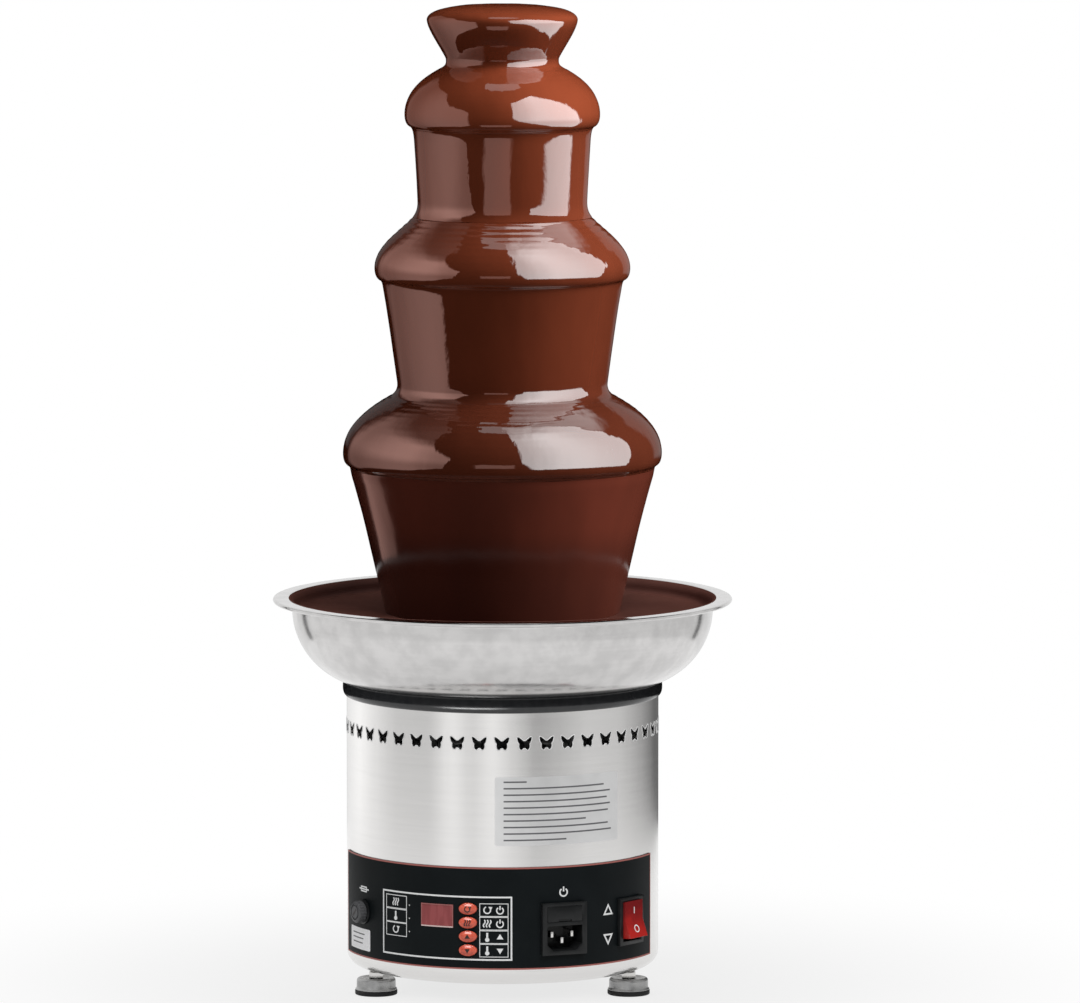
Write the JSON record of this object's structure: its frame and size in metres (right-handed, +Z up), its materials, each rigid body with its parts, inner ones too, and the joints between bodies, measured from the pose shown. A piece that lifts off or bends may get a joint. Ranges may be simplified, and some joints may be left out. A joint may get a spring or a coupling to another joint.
{
  "type": "chocolate fountain",
  "caption": "Table-top chocolate fountain: heated bowl on a steel drum with a control panel, auger tower with domed tiers and a crown, chocolate running down into the bowl.",
  "frame": {"origin": "on the floor under the tower's axis", "axes": "+Z up the tower, -Y towards the control panel, +X to the right of the panel"},
  "size_m": [0.3, 0.3, 0.643],
  "materials": {
    "brushed_steel": "satin",
    "panel_film": "gloss",
    "display_red": "gloss",
    "button_red": "gloss",
    "rocker_red": "gloss",
    "black_plastic": "satin",
    "seat_rubber": "gloss",
    "sole_rubber": "matte",
    "chocolate": "gloss",
    "pin_metal": "polished",
    "gear_brass": "machined",
    "shaft_steel": "polished",
    "bush_bronze": "machined",
    "motor_paint": "satin",
    "winding": "lacquered",
    "cast_aluminium": "cast",
    "board_green": "satin",
    "wire_red": "satin",
    "seal_rubber": "matte",
    "fuse_glass": "clear",
    "auger_plastic": "satin"
  },
  "bodies": {
    "base": {"base_shell": "brushed_steel", "base_plate": "brushed_steel", "bowl": "brushed_steel", "tower_foot": "brushed_steel", "tower_tube": "brushed_steel", "upper_tier": "brushed_steel", "middle_tier": "brushed_steel", "lower_tier": "brushed_steel", "crown": "brushed_steel", "deck_plate": "brushed_steel", "board_bracket": "brushed_steel", "heater_clamp": "brushed_steel", "foot_bushes": "shaft_steel", "case_screws": "shaft_steel", "idler_pin": "shaft_steel", "hub_nut": "shaft_steel", "tier_stops": "shaft_steel", "control_panel": "panel_film", "display_window": "display_red", "control_board": "board_green", "inlet_body": "black_plastic", "switch_frame": "black_plastic", "fuse_holder": "black_plastic", "heat_sensor": "black_plastic", "inlet_pins": "pin_metal", "gearbox_housing": "cast_aluminium", "shaft_housing": "cast_aluminium", "heater_plate": "cast_aluminium", "wires": "wire_red", "motor_can": "motor_paint", "stator": "winding", "shaft_bushes": "bush_bronze", "shaft_seal": "seal_rubber", "hub_washer": "seal_rubber", "bowl_ring": "seat_rubber", "chocolate_flow": "chocolate", "chocolate_pool": "chocolate"},
    "auger_drive": {"auger_core": "auger_plastic", "auger_flight": "auger_plastic", "output_shaft": "shaft_steel", "output_gear": "gear_brass"},
    "idler": {"idler_gear": "gear_brass"},
    "rotor": {"rotor": "shaft_steel"},
    "motor_button": {"button_motor": "button_red"},
    "heat_button": {"button_heat": "button_red"},
    "up_button": {"button_up": "button_red"},
    "down_button": {"button_down": "button_red"},
    "rocker": {"switch_rocker": "rocker_red"},
    "drawer": {"fuse_drawer": "black_plastic", "drawer_fuse": "fuse_glass"},
    "fuse_knob": {"fuse_cap": "black_plastic"},
    "left_foot": {"foot_cap_left": "brushed_steel", "foot_sole_left": "sole_rubber"},
    "left_stud": {"foot_stud_left": "shaft_steel"},
    "right_foot": {"foot_cap_right": "brushed_steel", "foot_sole_right": "sole_rubber"},
    "right_stud": {"foot_stud_right": "shaft_steel"},
    "rear_foot": {"foot_cap_rear": "brushed_steel", "foot_sole_rear": "sole_rubber"},
    "rear_stud": {"foot_stud_rear": "shaft_steel"}
  },
  "joints": [
    {"name": "auger_spin", "type": "hinge", "parent": "base", "child": "auger_drive", "pos_m": [0, 0, 0.15], "axis": [0, 0, -1], "continuous": true},
    {"name": "idler_spin", "type": "hinge", "parent": "base", "child": "idler", "pos_m": [0, 0.028, 0.12], "axis": [0, 0, -1], "continuous": true},
    {"name": "rotor_spin", "type": "hinge", "parent": "base", "child": "rotor", "pos_m": [0, 0, 0.08], "axis": [0, 0, -1], "continuous": true},
    {"name": "motor_button_press", "type": "slide", "parent": "base", "child": "motor_button", "axis": [0.213, 0.977, 0], "range_m": [0, 0.0008], "stiffness_N_per_m": 1000},
    {"name": "heat_button_press", "type": "slide", "parent": "base", "child": "heat_button", "axis": [0.213, 0.977, 0], "range_m": [0, 0.0008], "stiffness_N_per_m": 1000},
    {"name": "up_button_press", "type": "slide", "parent": "base", "child": "up_button", "axis": [0.213, 0.977, 0], "range_m": [0, 0.0008], "stiffness_N_per_m": 1000},
    {"name": "down_button_press", "type": "slide", "parent": "base", "child": "down_button", "axis": [0.213, 0.977, 0], "range_m": [0, 0.0008], "stiffness_N_per_m": 1000},
    {"name": "rocker_tilt", "type": "hinge", "parent": "base", "child": "rocker", "pos_m": [0.08079, -0.05978, 0.0517], "axis": [0.5948, 0.8039, 0], "range_deg": [0, 20]},
    {"name": "drawer_pull", "type": "slide", "parent": "base", "child": "drawer", "axis": [0.3859, -0.9225, 0], "range_m": [0, 0.018]},
    {"name": "fuse_knob_turn", "type": "hinge", "parent": "base", "child": "fuse_knob", "pos_m": [-0.08921, -0.04945, 0.0557], "axis": [-0.8746, -0.4848, 0], "range_deg": [0, 75]},
    {"name": "left_foot_height", "type": "slide", "parent": "base", "child": "left_foot", "axis": [0, 0, -1], "range_m": [0, 0.008]},
    {"name": "left_foot_screw", "type": "hinge", "parent": "left_foot", "child": "left_stud", "pos_m": [-0.08224, -0.04011, 0.012], "axis": [0, 0, -1], "range_deg": [0, 3240]},
    {"name": "right_foot_height", "type": "slide", "parent": "base", "child": "right_foot", "axis": [0, 0, -1], "range_m": [0, 0.008]},
    {"name": "right_foot_screw", "type": "hinge", "parent": "right_foot", "child": "right_stud", "pos_m": [0.08224, -0.04011, 0.012], "axis": [0, 0, -1], "range_deg": [0, 3240]},
    {"name": "rear_foot_height", "type": "slide", "parent": "base", "child": "rear_foot", "axis": [0, 0, -1], "range_m": [0, 0.008]},
    {"name": "rear_foot_screw", "type": "hinge", "parent": "rear_foot", "child": "rear_stud", "pos_m": [0, 0.0915, 0.012], "axis": [0, 0, -1], "range_deg": [0, 3240]}
  ],
  "couplings": [
    {"joint": "idler_spin", "follows": "auger_spin", "ratio": -3},
    {"joint": "rotor_spin", "follows": "auger_spin", "ratio": 12},
    {"joint": "left_foot_screw", "follows": "left_foot_height", "rad_per_m": 6283.2},
    {"joint": "right_foot_screw", "follows": "right_foot_height", "rad_per_m": 6283.2},
    {"joint": "rear_foot_screw", "follows": "rear_foot_height", "rad_per_m": 6283.2}
  ]
}
